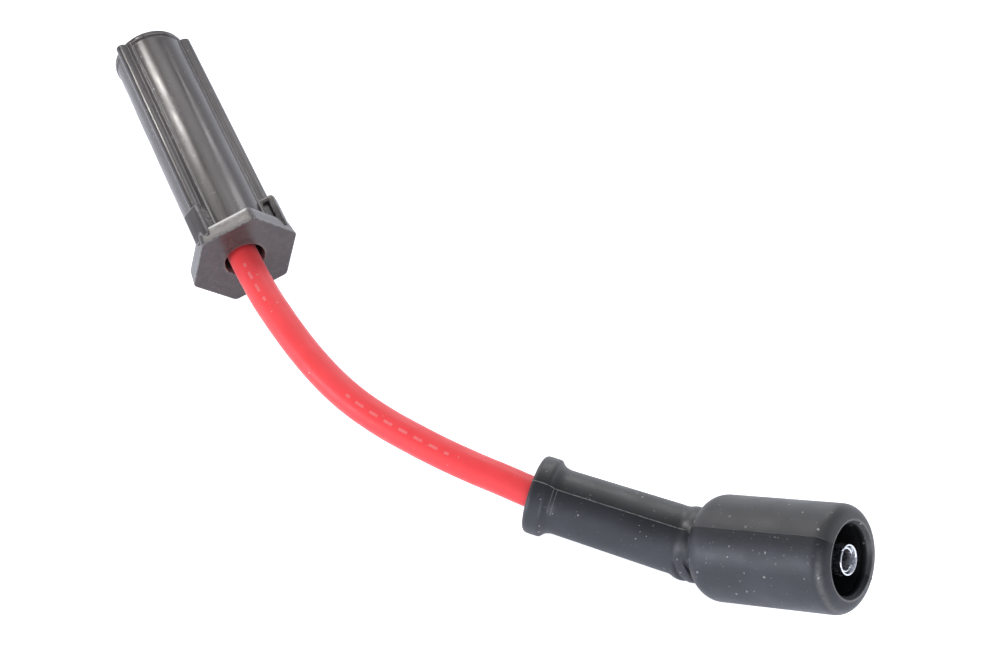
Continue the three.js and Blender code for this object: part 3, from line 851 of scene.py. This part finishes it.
def flash_crumbs(sizes, look):
    """Rough crumbs of mould flash along the front edge of the collar's upper flat."""
    random = np.random.default_rng(FLASH_SEED)
    flat = sizes.across_flats / MM / 2
    turn = Matrix.Rotation(UPPER_FLAT, 4, "Z")
    mesh = bpy.data.meshes.new("flash_crumbs")
    with edited(mesh) as work:
        for _ in range(FLASH_CRUMBS):
            along = random.normal(0.2, 2.7)
            if abs(along) > 6.2:
                continue
            size = random.uniform(0.03, 0.1) * MM
            height = flat + random.normal(-0.12, 0.07)
            depth = -abs(random.normal(0.05, 0.16))
            spot = turn @ Vector((height * MM, -along * MM, depth * MM))
            made = bmesh.ops.create_icosphere(work, subdivisions=1, radius=size)["verts"]
            for v in made:
                v.co *= random.uniform(0.5, 1.3)
                v.co.y *= 1.5
            bmesh.ops.rotate(work, verts=made, cent=(0, 0, 0), matrix=turn)
            bmesh.ops.translate(work, verts=made, vec=spot)
    return new_object("flash_crumbs", mesh, look)


class LEAD_OT_sleeve(Operator):
    """Moulded plug sleeve with its hexagonal collar, rails and puller loops, and the liner in it"""

    bl_idname = "lead.sleeve"
    bl_label = "Plug sleeve"

    def execute(self, context):
        sizes, finish = context.scene.lead_sleeve, context.scene.lead_finish
        look = sleeve_plastic(finish)
        mesh = grid_mesh("sleeve_shell", sleeve_rings(sizes, 600), wrap_rings=True)
        outward(mesh)
        shell = new_object("sleeve_shell", mesh, look)
        loops = [puller_loop(sizes, math.radians(turn), look) for turn in (-90, 30, 150)]
        shell = joined(shell, [*loops, flash_crumbs(sizes, look)])
        shell.data.transform(SLEEVE_FRAME)
        mark_edges(shell.data)
        paint_edge_highlight(shell.data, sizes)
        shade(shell, 50)
        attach(shell, ROOT)
        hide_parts("plug_sleeve")

        outer, socket, end = 7.7, 5.3, -70.0
        profile = [
            *round_corner(outer - 0.5, end + 0.5, 0.5, 0, -90, 5),
            *round_corner(socket + 1.2, end + 1.2, 1.2, -90, -180, 6),
            (socket, end + 4), (socket - 0.35, end + 5), (socket - 0.35, end + 6), (socket, end + 7),
            (socket, end + 25), (5.1, end + 26), (5.1, -22.7), (4.3, -22.7), (4.3, -7.3), (outer, -7.3),
        ]
        tube = lathe("liner_tube", profile, 96, SLEEVE_FRAME)
        liner = new_object("liner_tube", tube, plain_rubber("liner_silicone", finish.liner, finish.dust))
        shade(liner)
        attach(liner, ROOT)
        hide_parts("plug_liner")
        return {"FINISHED"}


def boot_skin(sizes):
    """Closed lathe shells of cup and neck, with a ball where they cross at the bend."""
    cup, rear = sizes.cup_length / MM, sizes.cup_rear_radius / MM
    front, hub = sizes.cup_radius / MM, sizes.hub_radius / MM
    mouth, cavity = sizes.mouth_radius / MM, sizes.cavity_radius / MM
    floor = cup - sizes.cavity_depth / MM
    cup_profile = [
        (0, 0), (hub - 0.1, 0), (hub, 1), (hub - 0.1, 2.2), (hub - 0.7, 3.2), (hub - 0.8, 3.9),
        *round_corner(rear - 5.4, 9.3, 5.4, -80, 0, 12),
        *round_corner(front - 3.4, cup - 3.4, 3.4, 0, 90, 10),
        (mouth, cup), (mouth - 0.5, cup - 0.5), (cavity, cup - 1), (cavity, floor), (0, floor),
    ]
    length, collar = sizes.neck_length / MM, sizes.collar_radius / MM
    width, thin, thick = sizes.collar_width / MM, sizes.neck_radius / MM, sizes.neck_end_radius / MM
    step = -length + width
    neck_profile = [
        (0, -length), (4.3, -length), (5.2, -length),
        *round_corner(collar - 1.25, -length + 1.25, 1.25, -90, 0, 7),
        *round_corner(collar - 0.7, step - 0.7, 0.7, 0, 70, 5),
        (thin + 0.8, step + 0.3), (thin + 0.3, step + 1.1), (thin, step + 2.4),
        (thick - 0.1, -6), (thick - 0.15, -4.4), (thick, -3.6), (thick + 0.35, -2.9), (hub - 0.06, -2.1),
        (hub, -1.4), (hub - 0.05, -0.6), (hub - 0.3, 0.3), (hub - 0.7, 1.2), (0, 1.2),
    ]
    skin = bpy.data.meshes.new("boot_skin")
    with edited(skin) as work:
        work.from_mesh(lathe("cup_shell", cup_profile, 160, CUP_FRAME))
        work.from_mesh(lathe("neck_shell", neck_profile, 140, NECK_FRAME))
        ball = Matrix.Translation(Vector(BEND_PLACE) * MM)
        bmesh.ops.create_icosphere(work, subdivisions=4, radius=(hub - 0.05) * MM, matrix=ball)
    return skin


def lip_ring(sizes):
    """Crisp lip round the cup's mouth, over the skin's coarser edge, with a painted highlight on its rim and
    painted shade on its bevel and inner wall stored as painted light."""
    cup, mouth = sizes.cup_length / MM, sizes.mouth_radius / MM
    outer = sizes.cup_radius / MM - 3.4
    # Radius, height and painted light: positive for the painted highlight on the rim, negative for the
    # painted shade on the bevel and inner wall
    profile = [
        (outer + 0.7, cup - 0.06, 0), (outer + 0.3, cup + 0.02, 0), (mouth + 0.45, cup + 0.06, 0),
        (mouth + 0.3, cup + 0.16, 0.9), (mouth + 0.02, cup + 0.18, 1), (mouth - 0.1, cup + 0.06, 0.6),
        (mouth - 0.16, cup - 0.1, -0.35), (mouth - 0.75, cup - 0.8, -0.3), (mouth - 0.86, cup - 1.0, -0.8),
        (mouth - 0.86, cup - 1.8, -1), (mouth - 0.5, cup - 2.6, -1), (mouth + 0.1, cup - 3.4, -1),
        (mouth + 0.5, cup - 3.4, -1), (outer + 0.6, cup - 0.6, 0),
    ]
    around = 160
    mesh = lathe("mouth_lip", [(r, z) for r, z, _ in profile], around, CUP_FRAME)
    store(mesh, "painted_light", np.repeat([m for _, _, m in profile], around))
    return mesh


def fold(mesh):
    """Presses the folds of the bend into the rubber and lifts small bulges, and stores painted light: painted
    shade in the folds and the cavity, painted highlights on the bulges and in a band under the cup's front
    edge."""
    place, normal = mesh_arrays(mesh)
    local = local_mm(place, NECK_FRAME)
    painted_light = np.zeros(len(place), np.float32)
    shift = np.zeros(len(place), np.float32)
    for depth, width, line in BEND_FOLDS:
        s, angle = np.array(line, float).T
        steps = np.linspace(0, len(line) - 1, 60)
        s, angle = (np.interp(steps, range(len(line)), v) for v in (s, np.radians(angle)))
        points = np.stack([FOLD_RADIUS * np.cos(angle), FOLD_RADIUS * np.sin(angle), s], -1)
        fade = np.minimum(1, np.minimum(steps, steps[-1] - steps))
        near = np.abs(local[:, 2]) < 8
        away = np.linalg.norm(local[near, None] - points, axis=-1)
        press = (fade * np.exp(-((away / width) ** 2))).max(axis=1)
        shift[near] -= depth * press
        # Painted shade along the folds
        painted_light[near] -= press
    for (s, angle), height, width, strength in BULGE_HIGHLIGHTS:
        a = math.radians(angle)
        away = np.linalg.norm(local - [SPOT_RADIUS * math.cos(a), SPOT_RADIUS * math.sin(a), s], axis=-1)
        lift = np.exp(-((away / width) ** 2))
        shift += height * lift
        # Painted highlight on each bulge
        painted_light += strength * lift
    x, y, z = local_mm(place, CUP_FRAME).T
    reach = np.hypot(x, y)
    turn = np.degrees(np.arctan2(y, x)) % 360
    middle, width, first, last, strength = CUP_HIGHLIGHT_BAND
    below = np.clip((turn - first) / 25, 0, 1) * np.clip((last - turn) / 30, 0, 1)
    # Painted highlight in the band behind the cup's front edge
    painted_light += strength * below * np.exp(-(((z - middle) / width) ** 2)) * (reach > 11)
    # Painted shade filling the cavity
    in_cavity = (reach < 9.6) & (z > 15)
    painted_light[in_cavity] = -1
    place += normal * shift[:, None] * MM
    mesh.vertices.foreach_set("co", place.ravel())
    store(mesh, "painted_light", np.clip(painted_light, -1, 1))
    mesh.update()


def seam_line(tree, frame_of, line, painted_light, look, name):
    """Thin raised line laid on the skin through (distance, angle) points, for a mould seam or a ridge at the
    collar's step, with a painted highlight of the given strength along it.
    """
    far, ray = 20, 19 * MM
    points = []
    for s, angle in line:
        out = Vector((math.cos(math.radians(angle)), math.sin(math.radians(angle)), 0))
        start = frame_of @ ((far * out + Vector((0, 0, s))) * MM)
        hit = tree.ray_cast(start, frame_of.to_3x3() @ -out, ray)[0]
        if hit is None:
            raise ValueError(f"{name} misses the skin at {s} mm")
        points.append(hit)
    turns = np.linspace(0, 2 * math.pi, 7)[:-1]
    rings = []
    for i, p in enumerate(points):
        ahead = (points[min(i + 1, len(points) - 1)] - points[max(i - 1, 0)]).normalized()
        side = ahead.orthogonal().normalized()
        other = ahead.cross(side)
        rings.append([p + SEAM_RADIUS * MM * (math.cos(t) * side + math.sin(t) * other) for t in turns])
    mesh = grid_mesh(name, rings, cap=True)
    store(mesh, "painted_light", [painted_light] * len(mesh.vertices))
    outward(mesh)
    return new_object(name, mesh, look)


class LEAD_OT_boot(Operator):
    """Bent rubber boot: collar, neck, bead at the bend and lipped cup, with its mould seams"""

    bl_idname = "lead.boot"
    bl_label = "Coil boot"

    def execute(self, context):
        sizes, finish = context.scene.lead_boot, context.scene.lead_finish
        look = boot_rubber(finish)
        boot = new_object("boot_skin", boot_skin(sizes), look)
        applied(boot, "REMESH", mode="VOXEL", voxel_size=SKIN_VOXEL * MM)
        applied(boot, "SMOOTH", factor=0.5, iterations=SKIN_ROUNDS)
        fold(boot.data)
        tree = BVHTree.FromPolygons(
            [v.co for v in boot.data.vertices], [p.vertices for p in boot.data.polygons]
        )
        radius, low, high = 4.25, -50, -30
        profile = [(0, low), (radius, low), (radius, high), (0, high)]
        hole = new_object("wire_hole", lathe("wire_hole", profile, 64, NECK_FRAME), look)
        applied(boot, "BOOLEAN", object=hole, operation="DIFFERENCE", solver="EXACT")
        bpy.data.objects.remove(hole)

        cup, neck = sizes.cup_length / MM, sizes.neck_length / MM
        on_neck = np.append(np.linspace(0.15 - neck, 2.5 - neck, 10), np.linspace(3.2 - neck, -2.6, 44))
        on_cup = np.append(np.linspace(5.2, cup - 3.6, 40), np.linspace(cup - 3.2, cup - 0.12, 12))
        # Mould seams, each with a painted highlight of the given strength along it
        seams = [
            seam_line(tree, frame_of, [(s, angle) for s in line], painted_light, look, name)
            for name, frame_of, line, angle, painted_light in (
                ("neck_seam", NECK_FRAME, on_neck, NECK_SEAM, 0.9),
                ("neck_seam_below", NECK_FRAME, on_neck, NECK_SEAM - 180, 0.5),
                ("cup_seam", CUP_FRAME, on_cup, CUP_SEAM, 0.25),
                ("cup_seam_below", CUP_FRAME, on_cup, CUP_SEAM - 180, 0.25),
            )
        ]
        # Ridges at the collar's step, with painted highlights along them
        for name, s, start, end in (("step_ring", -36.3, 106, 146), ("step_ring_inner", -35.4, 104, 150)):
            arc = [(s, angle) for angle in np.linspace(start, end, 24)]
            seams.append(seam_line(tree, NECK_FRAME, arc, 0.7, look, name))
        lip = new_object("mouth_lip", lip_ring(sizes), look)
        boot = joined(boot, [*seams, lip])
        shade(boot, 60)
        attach(boot, ROOT)
        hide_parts("coil_boot")
        return {"FINISHED"}


class LEAD_OT_wire(Operator):
    """Red silicone wire from the sleeve to the boot, along its route"""

    bl_idname = "lead.wire"
    bl_label = "Wire"

    def execute(self, context):
        sizes, finish = context.scene.lead_wire, context.scene.lead_finish
        line, run = smooth_route(WIRE_ROUTE, sizes.step / MM)
        around = sizes.sides
        tangent = np.gradient(line, axis=0)
        tangent /= np.linalg.norm(tangent, axis=1)[:, None]
        rings = []
        turn = np.linspace(0, 2 * math.pi, around, endpoint=False)
        radius = sizes.diameter / MM / 2
        for p, t in zip(line, tangent):
            side = np.cross([0, 0, 1.0], t)
            side /= np.linalg.norm(side)
            top = np.cross(t, side)
            rings.append(p + radius * (np.outer(np.cos(turn), side) + np.outer(np.sin(turn), top)))
        mesh = grid_mesh("wire_jacket_tube", np.array(rings) * MM, cap=True)
        layer = mesh.uv_layers.new(name="run")
        for polygon in mesh.polygons:
            for corner in polygon.loop_indices:
                row, column = divmod(mesh.loops[corner].vertex_index, around)
                if column == 0 and polygon.vertices[1] % around == 0 and len(polygon.vertices) == 4:
                    column = around
                layer.data[corner].uv = (run[row] * MM, column / around)
        wire = new_object("wire_jacket_tube", mesh, wire_silicone(finish))
        outward(mesh)
        shade(wire)
        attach(wire, ROOT)
        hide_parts("wire_jacket")
        return {"FINISHED"}


def rolled(name, profile, gap, matrix, look, around=96):
    """Sheet rolled about Z with an open seam at +Y: a closed (radius, z) section in millimetres swept
    round, short of the gap's width."""
    p = np.array(profile, float)
    rings = []
    for share in np.linspace(0, 1, around):
        half = np.arcsin(np.clip(gap / 2 / p[:, 0], 0, 0.98))
        angle = math.pi / 2 + half + share * (2 * math.pi - 2 * half)
        rings.append(np.stack([p[:, 0] * np.cos(angle), p[:, 0] * np.sin(angle), p[:, 1]], -1) * MM)
    mesh = grid_mesh(name, rings, cap=True)
    outward(mesh)
    mesh.transform(matrix)
    obj = new_object(name, mesh, look)
    shade(obj)
    return obj


def sheet_section(outside, sheet):
    """Closed section of sheet along (radius, z) points of its outside, with rounded ends."""
    outside = np.array(outside, float)
    inside = outside[::-1] - [sheet, 0]
    half = sheet / 2
    start, end = outside[0], outside[-1]
    first = round_corner(start[0] - half, start[1] + half, half, 180, 360, 6)
    last = round_corner(end[0] - half, end[1] - half, half, 0, 180, 6)
    return [*first, *map(tuple, outside[1:-1]), *last, *map(tuple, inside[1:-1])]


class LEAD_OT_terminals(Operator):
    """Rolled steel terminals in the cup and in the sleeve, with the spring rings in them"""

    bl_idname = "lead.terminals"
    bl_label = "Terminals"

    def execute(self, context):
        sizes, finish = context.scene.lead_terminal, context.scene.lead_finish
        look = terminal_steel(finish)
        sheet, seam = sizes.sheet / MM, sizes.seam / MM
        crimp = sizes.crimp_radius / MM + sheet
        coil_tip = context.scene.lead_boot.cup_length / MM - 0.7
        coil = CUP_FRAME @ Matrix.Translation((0, 0, coil_tip * MM)) @ Matrix.Rotation(math.pi, 4, "Y")
        plug = SLEEVE_FRAME @ Matrix.Translation((0, 0, -50 * MM))
        for prefix, radius, socket, place, spring_turn in (
            ("coil", sizes.coil_radius / MM, 22.8, coil, 135), ("plug", sizes.plug_radius / MM, 14, plug, -90)
        ):
            outside = [(radius, 0), (radius, socket), (crimp, socket + 3), (crimp, socket + 13)]
            tube = rolled(prefix + "_socket", sheet_section(outside, sheet), seam, place, look)
            inner = radius - sheet - 0.3
            ring = sheet_section([(inner, 0.7), (inner, 5.7)], 0.4)
            turned = place @ Matrix.Rotation(math.radians(spring_turn), 4, "Z")
            spring = rolled(prefix + "_spring", ring, 2.6, turned, look, 64)
            for piece, node in ((tube, "_terminal"), (spring, "_contact_spring")):
                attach(piece, ROOT)
                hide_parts(prefix + node)
        return {"FINISHED"}


class LEAD_OT_core(Operator):
    """Finish of the wire's core, which keeps its own solid"""

    bl_idname = "lead.core"
    bl_label = "Wire core"

    def execute(self, context):
        finish = context.scene.lead_finish
        look = plain_rubber("core_fibre", finish.liner, finish.dust)
        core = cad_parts["wire_core"]
        core.data.materials.clear()
        core.data.materials.append(look)
        return {"FINISHED"}


def area_light(name, place, target, size, power, colour, spread, roll):
    lamp = bpy.data.lights.new(name, "AREA")
    lamp.shape = "RECTANGLE"
    lamp.size, lamp.size_y = size
    lamp.energy, lamp.color, lamp.spread = power, colour, math.radians(spread)
    obj = bpy.data.objects.new(name, lamp)
    obj.location = place
    obj.visible_camera = False
    facing = (Vector(target) - Vector(place)).to_track_quat("-Z", "Y").to_matrix()
    obj.rotation_euler = (facing @ Matrix.Rotation(math.radians(roll), 3, "Z")).to_euler()
    bpy.context.scene.collection.objects.link(obj)


class LEAD_OT_stage(Operator):
    """Camera, pale floor, sky and soft lamps"""

    bl_idname = "lead.stage"
    bl_label = "Stage"

    def execute(self, context):
        scene = context.scene
        turn, rise = math.radians(CAMERA_AZIMUTH), math.radians(CAMERA_ELEVATION)
        back = Vector((math.sin(turn) * math.cos(rise), -math.cos(turn) * math.cos(rise), math.sin(rise)))
        lens = bpy.data.cameras.new("camera")
        lens.sensor_width, lens.lens, lens.clip_end = SENSOR, LENS, 20
        camera = bpy.data.objects.new("camera", lens)
        camera.location = Vector(CAMERA_TARGET) * MM + CAMERA_DISTANCE * MM * back
        camera.rotation_euler = back.to_track_quat("Z", "Y").to_euler()
        scene.collection.objects.link(camera)
        scene.camera = camera

        mesh = bpy.data.meshes.new("floor")
        corners = [(x * FLOOR_HALF, y * FLOOR_HALF, 0) for x, y in ((-1, -1), (1, -1), (1, 1), (-1, 1))]
        mesh.from_pydata(corners, [], [(0, 1, 2, 3)])
        floor = new_object("floor", mesh, stage_look("pale_stage", scene.lead_finish.floor))

        world = bpy.data.worlds.new("studio")
        scene.world = world
        net = empty_net(world)
        path = net.add("ShaderNodeLightPath").outputs
        direction = net.add("ShaderNodeTexCoord").outputs["Generated"]
        height = net.add("ShaderNodeSeparateXYZ", {0: direction}).outputs[2]
        sweep = net.ramp(height, 0.12, 0.55, SKY_LOW, SKY_HIGH)
        mirrored = net.times(path["Is Glossy Ray"], net.minus(sweep, SKY))
        seen = net.times(path["Is Camera Ray"], SKY_SEEN - SKY)
        tint = net.mix(path["Is Camera Ray"], (0.94, 0.97, 1.06, 1), (1, 1, 1, 1))
        strength = net.plus(seen, net.plus(mirrored, SKY))
        sky = net.add("ShaderNodeBackground", {"Color": tint, "Strength": strength})
        net.add("ShaderNodeOutputWorld", {"Surface": sky.outputs[0]})

        for name, settings in LAMPS.items():
            area_light(name, *settings)
        scene.view_settings.view_transform = "Standard"
        return {"FINISHED"}


class LEAD_PT_panel(Panel):
    """Sizes and finishes of the lead, and the operators that build it"""

    bl_idname = "LEAD_PT_panel"
    bl_label = "Ignition lead"
    bl_space_type = "VIEW_3D"
    bl_region_type = "UI"
    bl_category = "Lead"

    def draw(self, context):
        for operator in OPERATORS:
            self.layout.operator(operator.bl_idname)
        for attribute, group in GROUPS.items():
            box = self.layout.box()
            for key in group.__annotations__:
                box.prop(getattr(context.scene, attribute), key)


GROUPS = {
    "lead_sleeve": LeadSleeveSizes,
    "lead_boot": LeadBootSizes,
    "lead_wire": LeadWireSizes,
    "lead_terminal": LeadTerminalSizes,
    "lead_finish": LeadFinish,
}
OPERATORS = (LEAD_OT_stage, LEAD_OT_wire, LEAD_OT_sleeve, LEAD_OT_boot, LEAD_OT_terminals, LEAD_OT_core)


def register():
    for cls in (*GROUPS.values(), *OPERATORS, LEAD_PT_panel):
        bpy.utils.register_class(cls)
    for attribute, group in GROUPS.items():
        setattr(bpy.types.Scene, attribute, PointerProperty(type=group))


def unregister():
    for attribute in GROUPS:
        delattr(bpy.types.Scene, attribute)
    for cls in reversed((*GROUPS.values(), *OPERATORS, LEAD_PT_panel)):
        bpy.utils.unregister_class(cls)


def main():
    register()
    bpy.ops.lead.stage()
    bpy.ops.lead.wire()
    bpy.ops.lead.sleeve()
    bpy.ops.lead.boot()
    bpy.ops.lead.terminals()
    bpy.ops.lead.core()


if __name__ == "__main__":
    main()
